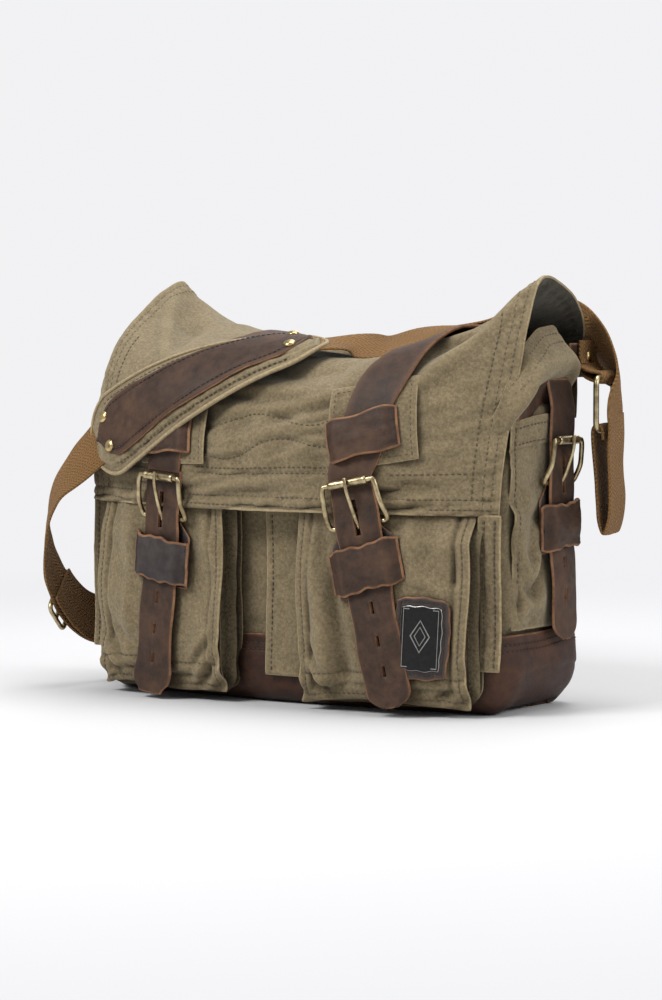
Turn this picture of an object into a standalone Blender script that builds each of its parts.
"""Canvas and leather messenger bag: sewn body, lift-over flap, buckled straps and a shoulder strap.

Metres, +Z up. The front of the bag faces -Y, its left side is at -X, and the origin is under
the middle of the base.
"""
import math
from collections import namedtuple

import bmesh
import bpy
from mathutils import Matrix, Vector

for old_object in list(bpy.data.objects):
    bpy.data.objects.remove(old_object, do_unlink=True)

# ---------------------------------------------------------------- shared dimensions
GAP = 0.0003            # clearance between sewn neighbours
LEATHER_T = 0.0024      # strap leather
STRAP_W = 0.032         # all buckled straps
SIDES = (("left", -1), ("right", 1))

SHELL_HW = 0.1727       # half width of the canvas body
SHELL_FRONT = 0.0467    # front wall at the corners
SHELL_BULGE = 0.014     # how far the stuffed front stands out in the middle
SHELL_BACK = 0.0627
SHELL_WALL = 0.0028
TOP_FRONT, TOP_BACK = 0.200, 0.243   # height of the mouth
BASE_OUT = 0.0023       # base leather's outer face beyond the canvas, at walls and floor

HINGE_Y, HINGE_Z = 0.0665, 0.2475    # sewn fold of the flap and turning line of the shoulder tabs

BAG = bpy.data.collections.new("messenger_bag")
CUTTERS = bpy.data.collections.new("cutters")
for group in (BAG, CUTTERS):
    bpy.context.scene.collection.children.link(group)

# ---------------------------------------------------------------- materials
Look = namedtuple("Look", "suffix colour roughness metallic")
CANVAS = Look("canvas", colour=(0.23, 0.195, 0.115), roughness=0.9, metallic=0.0)
LEATHER = Look("leather", colour=(0.07, 0.035, 0.022), roughness=0.55, metallic=0.0)
WEBBING = Look("webbing", colour=(0.38, 0.165, 0.045), roughness=0.85, metallic=0.0)
BRASS = Look("brass", colour=(0.45, 0.33, 0.14), roughness=0.35, metallic=1.0)
LINING = Look("lining", colour=(0.05, 0.045, 0.035), roughness=0.9, metallic=0.0)
BOARD = Look("board", colour=(0.02, 0.02, 0.02), roughness=0.6, metallic=0.0)
PLATE = Look("dark_plate", colour=(0.012, 0.012, 0.012), roughness=0.4, metallic=1.0)


def paint(data, name, look):
    """Give a piece its own material, named after the piece and the look."""
    mat = bpy.data.materials.new(name + "_" + look.suffix)
    mat.use_nodes = True
    shader = mat.node_tree.nodes["Principled BSDF"]
    shader.inputs["Base Color"].default_value = (*look.colour, 1.0)
    shader.inputs["Roughness"].default_value = look.roughness
    shader.inputs["Metallic"].default_value = look.metallic
    data.materials.append(mat)


# ---------------------------------------------------------------- placing
def hold(obj, parent):
    """Hang a piece from a pivot without moving it."""
    if parent is not None:
        obj.parent = parent
        obj.matrix_parent_inverse = Matrix.Translation(-Vector(parent["at"]))


def add_object(name, data, parent, matrix=None, collection=BAG):
    obj = bpy.data.objects.new(name, data)
    collection.objects.link(obj)
    if matrix is not None:
        obj.matrix_world = matrix
    hold(obj, parent)
    return obj


def pivot(name, at, parent=None):
    """An empty on a joint's axis; moving pieces hang from it."""
    empty = bpy.data.objects.new(name, None)
    empty.location = at
    empty.empty_display_size = 0.01
    BAG.objects.link(empty)
    hold(empty, parent)
    empty["at"] = tuple(at)
    return empty


def axes_matrix(x_axis, y_axis, z_axis, at):
    rows = [[x_axis[i], y_axis[i], z_axis[i], at[i]] for i in range(3)]
    return Matrix(rows + [[0, 0, 0, 1]])


class Spot:
    """A right-handed place on the bag: across, up, and straight out of the surface."""

    def __init__(self, origin, out, up=(0, 0, 1)):
        self.origin = Vector(origin)
        self.out = Vector(out).normalized()
        up = Vector(up)
        self.up = (up - self.out * up.dot(self.out)).normalized()
        self.across = self.up.cross(self.out)

    def at(self, across, up, out):
        return self.origin + self.across * across + self.up * up + self.out * out

    def matrix(self, across, up, out):
        return axes_matrix(self.across, self.up, self.out, self.at(across, up, out))


# ---------------------------------------------------------------- piece makers
def finish(name, bm, look, parent=None, smooth=False):
    bmesh.ops.recalc_face_normals(bm, faces=bm.faces)
    mesh = bpy.data.meshes.new(name)
    bm.to_mesh(mesh)
    bm.free()
    paint(mesh, name, look)
    if smooth:
        mesh.shade_smooth()
        mesh.set_sharp_from_angle(angle=math.radians(40))
    return add_object(name, mesh, parent)


def thicken(obj, thickness, offset):
    """Offset -1 grows the cloth inwards, 0 to both sides."""
    solidify = obj.modifiers.new("cloth thickness", "SOLIDIFY")
    solidify.thickness = thickness
    solidify.offset = offset
    solidify.use_even_offset = True


def cut_away(obj, cutter, label):
    cutter.hide_render = True
    cutter.display_type = "WIRE"
    boolean = obj.modifiers.new(label, "BOOLEAN")
    boolean.operation = "DIFFERENCE"
    boolean.object = cutter


def box(name, spot, ranges, parent, collection):
    """A box from its (from, to) ranges across, up and out."""
    bm = bmesh.new()
    bmesh.ops.create_cube(bm, size=1.0)
    bmesh.ops.scale(bm, vec=[end - start for start, end in ranges], verts=bm.verts)
    mesh = bpy.data.meshes.new(name)
    bm.to_mesh(mesh)
    bm.free()
    middle = [sum(pair) / 2 for pair in ranges]
    return add_object(name, mesh, parent, spot.matrix(*middle), collection)


def block(name, spot, ranges, look, parent=None, bevel=0.0, cut=None):
    """A plain sewn block; cut holds the ranges of a passage or recess in it."""
    obj = box(name, spot, ranges, parent, BAG)
    paint(obj.data, name, look)
    if bevel:
        edge = obj.modifiers.new("edge", "BEVEL")
        edge.width = bevel
        edge.segments = 1
        edge.limit_method = "ANGLE"
    if cut:
        cut_away(obj, box(name + "_cutter", spot, cut, parent, CUTTERS), "passage")


def add_spline(curve, points, closed):
    spline = curve.splines.new("POLY")
    spline.points.add(len(points) - 1)
    for target, point in zip(spline.points, points):
        target.co = (*point, 1)
    spline.use_cyclic_u = closed


def plate(name, spot, outline, holes, out_range, look, parent=None):
    """A flat piece cut from sheet, its outline and holes as (across, up) points."""
    inner, outer = out_range
    curve = bpy.data.curves.new(name, "CURVE")
    curve.dimensions = "2D"
    curve.fill_mode = "BOTH"
    curve.extrude = (outer - inner) / 2
    for ring in [outline] + holes:
        add_spline(curve, [(across, up, 0) for across, up in ring], closed=True)
    paint(curve, name, look)
    add_object(name, curve, parent, spot.matrix(0, 0, (inner + outer) / 2))


def rectangle(half_width, low, high):
    return [(-half_width, low), (half_width, low), (half_width, high), (-half_width, high)]


def wire(name, points, radius, parent=None, closed=False):
    """Round brass wire through the points."""
    curve = bpy.data.curves.new(name, "CURVE")
    curve.dimensions = "3D"
    curve.bevel_depth = radius
    curve.bevel_resolution = 2
    curve.use_fill_caps = True
    add_spline(curve, points, closed)
    paint(curve, name, BRASS)
    add_object(name, curve, parent)


def disc(name, centre, axis, radius, height, parent=None, segments=16):
    """A round brass stud."""
    bm = bmesh.new()
    bmesh.ops.create_cone(bm, cap_ends=True, segments=segments,
                          radius1=radius, radius2=radius, depth=height)
    turn = Vector((0, 0, 1)).rotation_difference(Vector(axis).normalized()).to_matrix().to_4x4()
    bmesh.ops.transform(bm, matrix=Matrix.Translation(Vector(centre)) @ turn, verts=bm.verts)
    finish(name, bm, BRASS, parent, smooth=True)


def sleeve(name, spot, up, out, half_length, bore_radius, radius, parent):
    """A brass tube lying across the spot: a wall profile carried round its axis by a Screw."""
    mesh = bpy.data.meshes.new(name)
    profile = [(radius, 0, half_length), (radius, 0, -half_length),
               (bore_radius, 0, -half_length), (bore_radius, 0, half_length)]
    mesh.from_pydata(profile, [(0, 1), (1, 2), (2, 3), (3, 0)], [])
    paint(mesh, name, BRASS)
    matrix = axes_matrix(-spot.up, spot.out, -spot.across, spot.at(0, up, out))
    obj = add_object(name, mesh, parent, matrix)
    screw = obj.modifiers.new("turn", "SCREW")
    screw.steps = screw.render_steps = 14
    screw.use_merge_vertices = True
    screw.merge_threshold = 0.00005


def sheet(name, rows, cols, point, thickness, look, parent):
    """A grid bent over point(a, b), with a and b from 0 to 1, and given thickness."""
    bm = bmesh.new()
    bmesh.ops.create_grid(bm, x_segments=cols, y_segments=rows, size=0.5)
    for vert in bm.verts:
        vert.co = point(vert.co.x + 0.5, vert.co.y + 0.5)
    thicken(finish(name, bm, look, parent, smooth=True), thickness, 0.0)


def ribbon(name, stations, width, thickness, look, parent):
    """A flat band lofted through stations of (centre, outward normal)."""
    bm = bmesh.new()
    rings = []
    centres = [Vector(centre) for centre, _ in stations]
    for i, (_, normal) in enumerate(stations):
        along = (centres[min(len(centres) - 1, i + 1)] - centres[max(0, i - 1)]).normalized()
        normal = Vector(normal)
        normal = (normal - along * normal.dot(along)).normalized()
        side = along.cross(normal)
        rings.append([bm.verts.new(centres[i] + side * (width / 2 * edge)
                                   + normal * (thickness / 2 * face))
                      for edge, face in ((-1, -1), (1, -1), (1, 1), (-1, 1))])
    for ring, following in zip(rings, rings[1:]):
        for i in range(4):
            j = (i + 1) % 4
            bm.faces.new((ring[i], ring[j], following[j], following[i]))
    bm.faces.new(list(reversed(rings[0])))
    bm.faces.new(rings[-1])
    return finish(name, bm, look, parent)


def open_box(ring, floor_z, top_z):
    """A floor with upright walls and no lid, from a ring of (x, y)."""
    bm = bmesh.new()
    floor = bm.faces.new([bm.verts.new((x, y, floor_z)) for x, y in ring])
    extruded = bmesh.ops.extrude_face_region(bm, geom=[floor])
    risen = [item for item in extruded["geom"] if isinstance(item, bmesh.types.BMVert)]
    for vert in risen:
        vert.co.z = top_z
    lids = [face for face in bm.faces if all(vert in risen for vert in face.verts)]
    bmesh.ops.delete(bm, geom=lids, context="FACES_ONLY")
    return bm


# ---------------------------------------------------------------- sewn body
FRONT_SPANS = 10                                # facets of the bulged front
FRONT_CORNER_R, BACK_CORNER_R = 0.012, 0.008    # corner roundings of the canvas body
BLANK_H = 0.1                                   # wall height before the top is shaped
SAME = 1e-6


def shell_front(x, corner, half_width):
    return -(corner + SHELL_BULGE * (1 - (x / half_width) ** 2))


def body_top(y):
    """The mouth is low along the front and climbs to its full height at y = 0."""
    climb = min(1.0, max(0.0, (y + SHELL_FRONT) / SHELL_FRONT))
    return TOP_FRONT + (TOP_BACK - TOP_FRONT) * climb


def tub(name, grow, floor_z, top, wall, look):
    """An open-topped tub with a bulged front; grow moves every wall outwards."""
    half_width, front, back = SHELL_HW + grow, SHELL_FRONT + grow, SHELL_BACK + grow
    xs = [-half_width + 2 * half_width * i / FRONT_SPANS for i in range(FRONT_SPANS + 1)]
    ring = [(x, shell_front(x, front, half_width)) for x in xs]
    ring += [(half_width, back), (-half_width, back)]
    bm = open_box(ring, floor_z, floor_z + BLANK_H)
    for corner_y, radius in ((-front, FRONT_CORNER_R), (back, BACK_CORNER_R)):
        corners = [edge for edge in bm.edges
                   if all(abs(vert.co.y - corner_y) < SAME
                          and abs(abs(vert.co.x) - half_width) < SAME for vert in edge.verts)
                   and abs(edge.verts[0].co.z - edge.verts[1].co.z) > BLANK_H / 2]
        bmesh.ops.bevel(bm, geom=corners, offset=radius + grow, segments=3,
                        affect="EDGES", profile=0.5)
    for vert in bm.verts:
        if vert.co.z > floor_z + BLANK_H / 2:
            vert.co.z = top(vert.co.y)
    thicken(finish(name, bm, look), wall, -1.0)


BASE_H = 0.046          # leather base turned up the walls
BASE_WALL = 0.0019
LINING_FLOOR_Z, LINING_WALL, LINING_DROP = 0.0092, 0.0010, 0.002
BOARD_Y, BOARD_TOP_Z = 0.005, 0.0088
BOARD_HALF_X, BOARD_HALF_Y = 0.160, 0.046

tub("bag_shell", 0.0, BASE_OUT, body_top, SHELL_WALL, CANVAS)
tub("base_leather", BASE_OUT, 0.0, lambda y: BASE_H, BASE_WALL, LEATHER)
tub("lining", -SHELL_WALL - GAP, LINING_FLOOR_Z, lambda y: body_top(y) - LINING_DROP,
    LINING_WALL, LINING)
block("base_board", Spot((0, BOARD_Y, 0), (0, 0, 1), (0, 1, 0)),
      ((-BOARD_HALF_X, BOARD_HALF_X), (-BOARD_HALF_Y, BOARD_HALF_Y),
       (BASE_OUT + SHELL_WALL + GAP, BOARD_TOP_Z)), BOARD, bevel=0.003)

# ---------------------------------------------------------------- front pockets and label
POCKET_EDGE, POCKET_BULGE, POCKET_HW = 0.056, 0.028, 0.172   # bowed face both pockets share
POCKET_Z0, POCKET_Z1 = 0.012, 0.170
POCKET_INNER_X, POCKET_OUTER_X = 0.0280, 0.1600
POCKET_WALL = 0.0014
POCKET_SPANS = 8
LABEL_X, LABEL_Z = 0.131, 0.056


def pocket_face(x):
    return -(POCKET_EDGE + POCKET_BULGE * (1 - (x / POCKET_HW) ** 2))


def pocket_normal(x):
    slope = 2 * POCKET_BULGE * x / POCKET_HW ** 2
    return Vector((slope, -1, 0)).normalized()


def front_pocket(name, x0, x1):
    """A bellows pocket with an open top, standing off the front wall."""
    xs = [x0 + (x1 - x0) * i / POCKET_SPANS for i in range(POCKET_SPANS + 1)]
    clear = BASE_OUT + 2 * GAP      # stays outside the base leather
    ring = [(x, pocket_face(x)) for x in xs]
    ring += [(x, shell_front(x, SHELL_FRONT + clear, SHELL_HW + clear)) for x in reversed(xs)]
    bm = open_box(ring, POCKET_Z0, POCKET_Z1)
    thicken(finish(name, bm, CANVAS), POCKET_WALL, -1.0)


front_pocket("front_pocket_left", -POCKET_OUTER_X, -POCKET_INNER_X)
front_pocket("front_pocket_right", POCKET_INNER_X, POCKET_OUTER_X)

label = Spot((LABEL_X, pocket_face(LABEL_X), LABEL_Z), pocket_normal(LABEL_X))
plate("label_patch", label, rectangle(0.019, -0.026, 0.026), [], (0.0004, 0.0018), LEATHER)
plate("label_plate", label, rectangle(0.015, -0.021, 0.021), [], (0.0021, 0.0031), PLATE)

# ---------------------------------------------------------------- flap
FLAP_T = 0.0024
# Flap profiles as (y, z), one row per station from the hinge (0) over the top to the hem (9)
FLAP_MID = [                # in the middle of the flap
    (0.0665, 0.2495), (0.0640, 0.2550), (0.0480, 0.2580), (0.0200, 0.2570), (-0.0150, 0.2530),
    (-0.0480, 0.2455), (-0.0745, 0.2250), (-0.0875, 0.1940), (-0.0905, 0.1650),
    (-0.0905, 0.1405)]
FLAP_SIDE = [               # along its left and right edges
    (0.0665, 0.2495), (0.0655, 0.2580), (0.0520, 0.2665), (0.0220, 0.2810), (-0.0120, 0.2975),
    (-0.0270, 0.2690), (-0.0400, 0.2350), (-0.0520, 0.2010), (-0.0600, 0.1680),
    (-0.0605, 0.1405)]
HEM = len(FLAP_MID) - 1
PEAK = 4                    # station where the side edges stand highest
HEM_Z = FLAP_SIDE[HEM][1]
PEAK_RISE = FLAP_SIDE[PEAK][1] - HEM_Z
FLAP_HW, FLAP_FLARE = 0.1700, 0.0085    # half width at hinge and hem, and what the peak adds
TRACE_STEP = 0.05           # stations per step when measuring along the profile


def flap_point(across, station):
    """across runs -1 to 1 over the flap, station 0 at the hinge to 9 at the hem."""
    station = min(HEM - 0.0001, max(0.0, station))
    i = int(station)
    part = station - i
    edge = abs(across) ** (2.0 + 0.3 * max(0.0, 1 - station / 7.0))
    mid = [a * (1 - part) + b * part for a, b in zip(FLAP_MID[i], FLAP_MID[i + 1])]
    side = [a * (1 - part) + b * part for a, b in zip(FLAP_SIDE[i], FLAP_SIDE[i + 1])]
    y, z = (m * (1 - edge) + s * edge for m, s in zip(mid, side))
    if station < PEAK:
        flare = max(0.0, station - 2) / 2
    else:
        flare = min(1.0, max(0.0, (side[1] - HEM_Z) / PEAK_RISE))
    return Vector((across * (FLAP_HW + FLAP_FLARE * flare), y, z))


def flap_normal(across, station):
    sideways = flap_point(across + 0.02, station) - flap_point(across - 0.02, station)
    down = (flap_point(across, min(HEM, station + 0.35))
            - flap_point(across, max(0, station - 0.35)))
    normal = sideways.cross(down).normalized()
    return normal if normal.dot(Vector((0, -0.5, 1))) > 0 else -normal


def flap_station(length):
    """The station at a length up the middle profile, measured from the hem."""
    station = float(HEM)
    while station > TRACE_STEP:
        step = (flap_point(0, station) - flap_point(0, station - TRACE_STEP)).length
        if length < step:
            return station - TRACE_STEP * length / step
        length -= step
        station -= TRACE_STEP
    return 0.0


def over_flap(x, length, lift, half_width):
    """(point, normal) lifted off the flap; half_width is the x that counts as its edge."""
    station, across = flap_station(length), x / half_width
    normal = flap_normal(across, station)
    return flap_point(across, station) + normal * lift, normal


flap_pivot = pivot("flap_hinge", (0, HINGE_Y, HINGE_Z))
sheet("flap", 18, 20, lambda a, b: flap_point(a * 2 - 1, b * HEM), FLAP_T, CANVAS, flap_pivot)

# ---------------------------------------------------------------- straps sewn over the flap
FrontStrap = namedtuple("FrontStrap", "x lean keeper_station")
FRONT_STRAPS = {            # lean is sideways travel per unit of height: the straps splay
    "left": FrontStrap(x=-0.087, lean=0.07, keeper_station=7.3),
    "right": FrontStrap(x=0.079, lean=-0.20, keeper_station=6.45),
}
UPPER_TOP_STATION = 1.5
UPPER_END_Z = 0.1692        # the upper strap ends here, between stations 7 and 8
UPPER_END_STATION = 8 - (UPPER_END_Z - FLAP_MID[8][1]) / (FLAP_MID[7][1] - FLAP_MID[8][1])
UPPER_ROWS = 13
UPPER_LIFT = FLAP_T / 2 + 0.0007 + LEATHER_T / 2
STRAP_EDGE_X = 0.1745       # x that counts as the flap's edge under the straps


def strap_across(strap, station, offset=0.0):
    """Where the strap runs on the flap; it drifts low down to meet the leaning buckle strap."""
    drift = strap.lean * 0.035 * min(1.0, max(0.0, station - 5.5) / 2.0)
    return (strap.x + drift + offset) / STRAP_EDGE_X


def upper_strap(side, strap):
    def point(a, b):
        # rows fall on the flap's own bends
        station = min(UPPER_END_STATION, UPPER_TOP_STATION + 0.5 * round(b * UPPER_ROWS))
        across = strap_across(strap, station, (a - 0.5) * STRAP_W)
        return flap_point(across, station) + flap_normal(across, station) * UPPER_LIFT
    sheet("upper_strap_" + side, UPPER_ROWS, 3, point, LEATHER_T, LEATHER, flap_pivot)


def flap_keeper(side, strap):
    """A leather loop round the upper strap."""
    station = strap.keeper_station
    across = strap_across(strap, station)
    up = flap_point(across, station - 0.4) - flap_point(across, station + 0.4)
    spot = Spot(flap_point(across, station), flap_normal(across, station), up)
    block("flap_keeper_" + side, spot,
          ((-0.0240, 0.0240), (-0.0125, 0.0125), (0.0020, 0.0066)), LEATHER, flap_pivot,
          cut=((-0.0185, 0.0185), (-0.02, 0.02), (-0.001, 0.0052)))


for side, strap in FRONT_STRAPS.items():
    upper_strap(side, strap)
    flap_keeper(side, strap)

# ---------------------------------------------------------------- buckled straps
# Heights in a buckle set count up from the heel bar, outs from the middle of the strap
HEEL_OUT = -0.0033
ROLLER_UP, ROLLER_OUT = 0.0300, 0.0045
TIP_LENGTH, TIP_NARROWING = 0.012, 0.72
SLOT_LOW, SLOT_HIGH, SLOT_HALF_W = -0.0030, 0.0185, 0.0022      # slot for the prong
HOLE_LOW, HOLE_HIGH, HOLE_PITCH, HOLE_HALF_W = -0.052, -0.041, 0.026, 0.0011
# right half of the buckle frame from the heel bar up: across, up, out
FRAME_RIGHT = [(0.0175, 0.0, HEEL_OUT), (0.0205, 0.0022, -0.0020), (0.0205, 0.0065, 0.0016),
               (0.0205, 0.0200, 0.0040), (0.0205, 0.0275, 0.0045),
               (0.0180, ROLLER_UP, ROLLER_OUT)]
# prong from heel to tip: across, up, out
PRONG = [(0, 0.0021, -0.0012), (0, 0.0060, 0.0018), (0, 0.0150, 0.0056),
         (0, 0.0250, 0.0088), (0, 0.0325, 0.0094)]
# right half of the chape from top to bottom: across, up
CHAPE_RIGHT = [(0.0150, -0.0024), (0.0150, -0.0110), (0.0230, -0.0130), (0.0230, -0.0480)]


def buckle_strap(name, spot, top, tail, root):
    half = STRAP_W / 2
    shoulder, tip = tail + TIP_LENGTH, half * TIP_NARROWING
    outline = [(-half, top), (-half, shoulder), (-tip, tail),
               (tip, tail), (half, shoulder), (half, top)]
    holes = [rectangle(SLOT_HALF_W, SLOT_LOW, SLOT_HIGH)]
    for k in range(3):
        low = HOLE_LOW - HOLE_PITCH * k
        if low > shoulder:
            holes.append(rectangle(HOLE_HALF_W, low, HOLE_HIGH - HOLE_PITCH * k))
    plate(name, spot, outline, holes, (-LEATHER_T / 2, LEATHER_T / 2), LEATHER, root)


def buckle_set(place, side, strap_name, spot, top, tail, root):
    """Strap, chape, keeper, buckle frame, prong and roller."""
    def named(part):
        return f"{place}_{part}_{side}"

    buckle_strap(strap_name, spot, top, tail, root)
    chape = [(-across, up) for across, up in CHAPE_RIGHT] + CHAPE_RIGHT[::-1]
    plate(named("chape"), spot, chape, [], (-0.0046, -0.0028), LEATHER, root)
    block(named("keeper"), spot,
          ((-0.0250, 0.0250), (-0.0440, -0.0140), (-0.0025, 0.0034)), LEATHER, root,
          cut=((-0.0170, 0.0170), (-0.06, 0.0), (-0.01, 0.0017)))
    frame = FRAME_RIGHT + [(-across, up, out) for across, up, out in reversed(FRAME_RIGHT)]
    wire(named("buckle"), [spot.at(*point) for point in frame], 0.0016, root, closed=True)
    prong_pivot = pivot(named("prong") + "_pivot", spot.at(0, 0, HEEL_OUT), root)
    wire(named("prong"), [spot.at(*point) for point in PRONG], 0.0012, prong_pivot)
    roller_pivot = pivot(named("roller") + "_pivot", spot.at(0, ROLLER_UP, ROLLER_OUT), root)
    sleeve(named("roller"), spot, ROLLER_UP, ROLLER_OUT, half_length=0.0145,
           bore_radius=0.0020, radius=0.0029, parent=roller_pivot)


HEEL_Z = 0.132              # heel bar of the front buckles
FRONT_TAIL_Z = 0.012
FRONT_STACK = 0.0089        # pocket face to the middle of the strap
UPPER_END_GAP = 0.0022      # below the upper strap, before allowing for the lean


def front_buckle(side, strap):
    """Lower strap over a front pocket, and the snap socket under it."""
    normal = pocket_normal(strap.x)
    face = Vector((strap.x, pocket_face(strap.x), HEEL_Z))
    spot = Spot(face + normal * FRONT_STACK, normal, (strap.lean, 0, 1))
    top = UPPER_END_Z - HEEL_Z - UPPER_END_GAP - STRAP_W / 2 * abs(strap.lean)
    lift_pivot = pivot("buckle_lift_" + side, spot.at(0, top + 0.0002, 0), flap_pivot)
    buckle_set("front", side, "strap_tail_" + side, spot, top, FRONT_TAIL_Z - HEEL_Z, lift_pivot)
    disc("snap_socket_" + side, spot.at(0, -0.029, -0.0067), normal, radius=0.0075, height=0.0026)


SIDE_X, SIDE_Y, SIDE_HEEL_Z = 0.1815, 0.022, 0.160
SIDE_TOP_Z, SIDE_TAIL_Z = 0.232, 0.050
SIDE_POCKET_Y = 0.004


def side_buckle(side, sign):
    spot = Spot((sign * SIDE_X, SIDE_Y, SIDE_HEEL_Z), (sign, 0, 0))
    buckle_set("side", side, "side_strap_" + side, spot,
               SIDE_TOP_Z - SIDE_HEEL_Z, SIDE_TAIL_Z - SIDE_HEEL_Z, None)


def side_pocket(side, sign):
    """An open-topped pocket lying flat on the gusset."""
    face = Spot((sign * (SHELL_HW + GAP), SIDE_POCKET_Y, 0.0), (sign, 0, 0))
    block("side_pocket_" + side, face,
          ((-0.036, 0.036), (0.0480, 0.195), (0.0, 0.0032)), CANVAS,
          cut=((-0.034, 0.034), (0.050, 0.21), (0.0010, 0.0022)))


for side, strap in FRONT_STRAPS.items():
    front_buckle(side, strap)
for side, sign in SIDES:
    side_buckle(side, sign)
    side_pocket(side, sign)

# ---------------------------------------------------------------- shoulder strap fittings
ANCHOR_Y = 0.0600
TAB_X = 0.1772              # middle of the tab where the rivet passes
RIVET_X = 0.1782
BORE_R, BORE_DEPTH = 0.0029, 0.02
RING_X, RING_Z = 0.1961, 0.214
RING_HW, RING_HH, RING_CORNER = 0.0225, 0.0180, 0.004
# right tab from its top down to the ring: x, z, then the normal's x and z
TAB_STATIONS = [(TAB_X, 0.2570, 1, 0), (TAB_X, 0.2410, 1, 0), (0.1820, 0.2360, 1, 0.9),
                (0.1910, 0.2325, 1, 0.9), (0.1930, 0.2290, 1, 0.2), (0.1930, 0.2190, 1, 0)]

strap_pivot = pivot("shoulder_strap_pivot", (0, HINGE_Y, HINGE_Z), flap_pivot)


def strap_anchor(side, sign):
    """A leather patch on the gusset with its rivet."""
    spot = Spot((sign * (SHELL_HW + GAP), ANCHOR_Y, 0.0), (sign, 0, 0))
    across = sorted(sign * y for y in (-0.0150, 0.0105))
    block("strap_anchor_" + side, spot, (across, (0.2365, 0.2560), (0.0, 0.0022)), LEATHER)
    disc("strap_rivet_" + side, (sign * RIVET_X, HINGE_Y, HINGE_Z), (sign, 0, 0),
         radius=0.0025, height=0.0050)


def shoulder_tab(side, sign):
    """A bent leather tab, bored for the rivet it turns on."""
    stations = [((sign * x, HINGE_Y, z), (sign * normal_x, 0, normal_z))
                for x, z, normal_x, normal_z in TAB_STATIONS]
    tab = ribbon("shoulder_tab_" + side, stations, 0.020, 0.0018, LEATHER, strap_pivot)
    bm = bmesh.new()
    bmesh.ops.create_cone(bm, cap_ends=True, segments=20,
                          radius1=BORE_R, radius2=BORE_R, depth=BORE_DEPTH)
    bmesh.ops.rotate(bm, cent=(0, 0, 0), matrix=Matrix.Rotation(math.pi / 2, 3, "Y"),
                     verts=bm.verts)
    bmesh.ops.translate(bm, vec=(sign * TAB_X, HINGE_Y, HINGE_Z), verts=bm.verts)
    mesh = bpy.data.meshes.new("tab_bore_" + side)
    bm.to_mesh(mesh)
    bm.free()
    bore = add_object("tab_bore_" + side, mesh, None, collection=CUTTERS)
    cut_away(tab, bore, "rivet hole")


def strap_ring(side, sign):
    """A rectangular wire ring with clipped corners."""
    spot = Spot((sign * RING_X, HINGE_Y, RING_Z), (sign, 0, 0))
    wide, tall = RING_HW, RING_HH
    wide_in, tall_in = wide - RING_CORNER, tall - RING_CORNER
    corners = [(wide, -tall_in), (wide, tall_in), (wide_in, tall), (-wide_in, tall),
               (-wide, tall_in), (-wide, -tall_in), (-wide_in, -tall), (wide_in, -tall)]
    wire("strap_ring_" + side, [spot.at(across, up, 0) for across, up in corners],
         0.0018, strap_pivot, closed=True)


for side, sign in SIDES:
    strap_anchor(side, sign)
    shoulder_tab(side, sign)
    strap_ring(side, sign)

# ---------------------------------------------------------------- shoulder pad
# The pad slants over the flap, from low near its left edge to the front of the top at mid width.
# Its layout is flat: x, and length up the flap's middle profile from the hem.
PAD_LOW, PAD_HIGH = Vector((-0.1387, 0.0470, 0)), Vector((-0.0013, 0.1300, 0))
PAD_OVER = 0.020            # pad beyond each of those points
PAD_HALF_W = 0.030
PAD_MIN_END = 0.42          # share of the half width kept at the rounded ends
PAD_EDGE_X = 0.172          # x that counts as the flap's edge under the pad
PAD_MIDDLE = (PAD_LOW + PAD_HIGH) / 2
PAD_DIR = (PAD_HIGH - PAD_LOW).normalized()
PAD_SIDE = Vector((-PAD_DIR.y, PAD_DIR.x, 0))
PAD_LENGTH = (PAD_HIGH - PAD_LOW).length + 2 * PAD_OVER
PAD_T, PAD_LEATHER_T = 0.0060, 0.0012
PAD_LIFT = 0.0112           # flap to the middle of the pad
PAD_LEATHER_LIFT = PAD_LIFT + PAD_T / 2 + 2 * GAP + 0.0008
PAD_RIVET_LIFT = PAD_LEATHER_LIFT + PAD_LEATHER_T / 2 + GAP + 0.0012
PAD_LEATHER_INSET = 0.009
PAD_RIVET_ALONG, PAD_RIVET_ACROSS = 0.078, 0.011


def pad_surface(along, across, lift):
    spot = PAD_MIDDLE + PAD_DIR * along + PAD_SIDE * across
    return over_flap(spot.x, spot.y, lift, PAD_EDGE_X)


def pad_point(a, b, lift, inset=0.0):
    straight = PAD_LENGTH / 2 - PAD_HALF_W
    into_end = max(0.0, abs((a - 0.5) * PAD_LENGTH) - straight) / PAD_HALF_W
    rounding = math.sqrt(1 - min(1.0, into_end) ** 2)
    half = (PAD_HALF_W - inset) * max(PAD_MIN_END, rounding)
    return pad_surface((a - 0.5) * (PAD_LENGTH - 2 * inset), (b - 0.5) * 2 * half, lift)[0]


sheet("shoulder_pad", 8, 22, lambda a, b: pad_point(a, b, PAD_LIFT), PAD_T, CANVAS, strap_pivot)
sheet("pad_leather", 6, 18, lambda a, b: pad_point(a, b, PAD_LEATHER_LIFT, PAD_LEATHER_INSET),
      PAD_LEATHER_T, LEATHER, strap_pivot)
for i, (end, edge) in enumerate(((-1, -1), (-1, 1), (1, -1), (1, 1))):
    centre, normal = pad_surface(end * PAD_RIVET_ALONG, edge * PAD_RIVET_ACROSS, PAD_RIVET_LIFT)
    disc("pad_rivet_%d" % (i + 1), centre, normal, radius=0.0040, height=0.0012,
         parent=strap_pivot, segments=12)

# ---------------------------------------------------------------- webbing
WEB_W, WEB_T = 0.038, 0.0016
LEFT_WEB_W = WEB_W * 0.92
WEB_LIFT = 0.0062           # off the flap beside the pad's ends
WEB_EDGE_X = 0.176          # x that counts as the flap's edge under the webbing
WEB_STEPS = 3               # stations made from each span of a path


def catmull_rom(before, start, end, after, t):
    return 0.5 * ((2 * start) + (end - before) * t
                  + (2 * before - 5 * start + 4 * end - after) * t * t
                  + (3 * start - before - 3 * end + after) * t ** 3)


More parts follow.
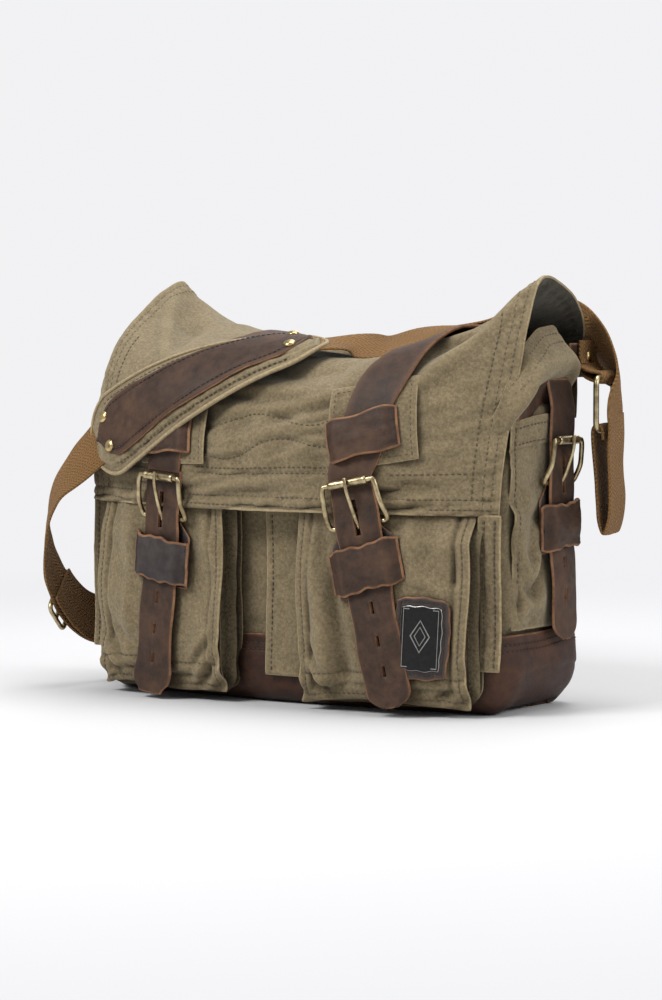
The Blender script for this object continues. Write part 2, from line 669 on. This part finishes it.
def curve_through(path):
    """Catmull-Rom stations through (centre, normal) pairs."""
    stations = []
    last = len(path) - 1
    for i in range(last):
        near = [path[min(last, max(0, j))] for j in range(i - 1, i + 3)]
        for k in range(WEB_STEPS):
            stations.append(tuple(
                catmull_rom(*(Vector(pair[part]) for pair in near), k / WEB_STEPS)
                for part in (0, 1)))
    stations.append(path[-1])
    return stations


def web_on_flap(x, length, lift=WEB_LIFT):
    return over_flap(x, length, lift, WEB_EDGE_X)


# From the pad's high end over the right edge, down the side and back up to the right ring:
# (centre, outward normal)
high_end = PAD_HIGH + PAD_DIR * (PAD_OVER + 0.003)
RIGHT_PATH = [
    web_on_flap(high_end.x, high_end.y),
    web_on_flap(0.046, 0.172, 0.0085),
    web_on_flap(0.078, 0.196, 0.0100),
    web_on_flap(0.110, 0.212, 0.0090),
    web_on_flap(0.150, 0.219, 0.0060),
    ((0.1850, 0.0560, 0.2790), (0.55, 0, 0.8)),
    ((0.1985, 0.0700, 0.2620), (1, 0.1, 0.25)),
    ((0.2015, 0.0700, 0.2250), (1, 0, 0)),
    ((0.2015, 0.0640, 0.1750), (1, 0, 0)),
    ((0.2030, 0.0600, 0.1350), (1, 0, 0)),
    ((0.1998, 0.0600, 0.1200), (0.05, 0, -1)),
    ((0.1966, 0.0600, 0.1350), (-1, 0, 0)),
    ((0.1952, 0.0640, 0.1650), (-1, 0, 0)),
    ((0.1932, 0.0670, 0.1900), (-1, 0, 0)),
    ((0.1932, 0.0665, 0.2060), (-1, 0, 0)),
]
ribbon("webbing_right", curve_through(RIGHT_PATH), WEB_W, WEB_T, WEBBING, strap_pivot)

# From the pad's low end in a hanging loop past the left side, up to the left ring:
# (centre, outward normal)
low_end = PAD_LOW - PAD_DIR * (PAD_OVER + 0.014)
LEFT_PATH = [
    web_on_flap(low_end.x, low_end.y),
    ((-0.1950, -0.0790, 0.1600), (-0.7, -0.7, 0.1)),
    ((-0.2020, -0.0820, 0.1330), (-0.8, -0.6, 0)),
    ((-0.2090, -0.0700, 0.0950), (-0.95, -0.3, -0.1)),
    ((-0.2080, -0.0480, 0.0620), (-1, -0.1, -0.2)),
    ((-0.2030, -0.0160, 0.0460), (-1, 0, -0.2)),
    ((-0.2000, 0.0200, 0.0600), (-1, 0, 0)),
    ((-0.1990, 0.0500, 0.0960), (-1, 0, 0)),
    ((-0.1990, 0.0655, 0.1450), (-1, 0, 0)),
    ((-0.1994, 0.0665, 0.1840), (-1, 0, 0)),
    ((-0.2000, 0.0665, 0.2060), (-1, 0, 0)),
]
left_run = curve_through(LEFT_PATH)
ribbon("webbing_left", left_run, LEFT_WEB_W, WEB_T, WEBBING, strap_pivot)

ADJUSTER_STATION = 13
ADJUSTER_HW, ADJUSTER_HL, ADJUSTER_LIFT = 0.0215, 0.0115, 0.0032


def strap_adjuster():
    """Sliding length adjuster on the outer face, near the lowest point of the left loop."""
    centre, normal = left_run[ADJUSTER_STATION]
    along = left_run[ADJUSTER_STATION + 1][0] - left_run[ADJUSTER_STATION - 1][0]
    spot = Spot(centre, normal, along.normalized())
    corners = [(ADJUSTER_HW, -ADJUSTER_HL), (ADJUSTER_HW, ADJUSTER_HL),
               (-ADJUSTER_HW, ADJUSTER_HL), (-ADJUSTER_HW, -ADJUSTER_HL)]
    wire("strap_adjuster", [spot.at(across, up, ADJUSTER_LIFT) for across, up in corners],
         0.0014, strap_pivot, closed=True)


strap_adjuster()
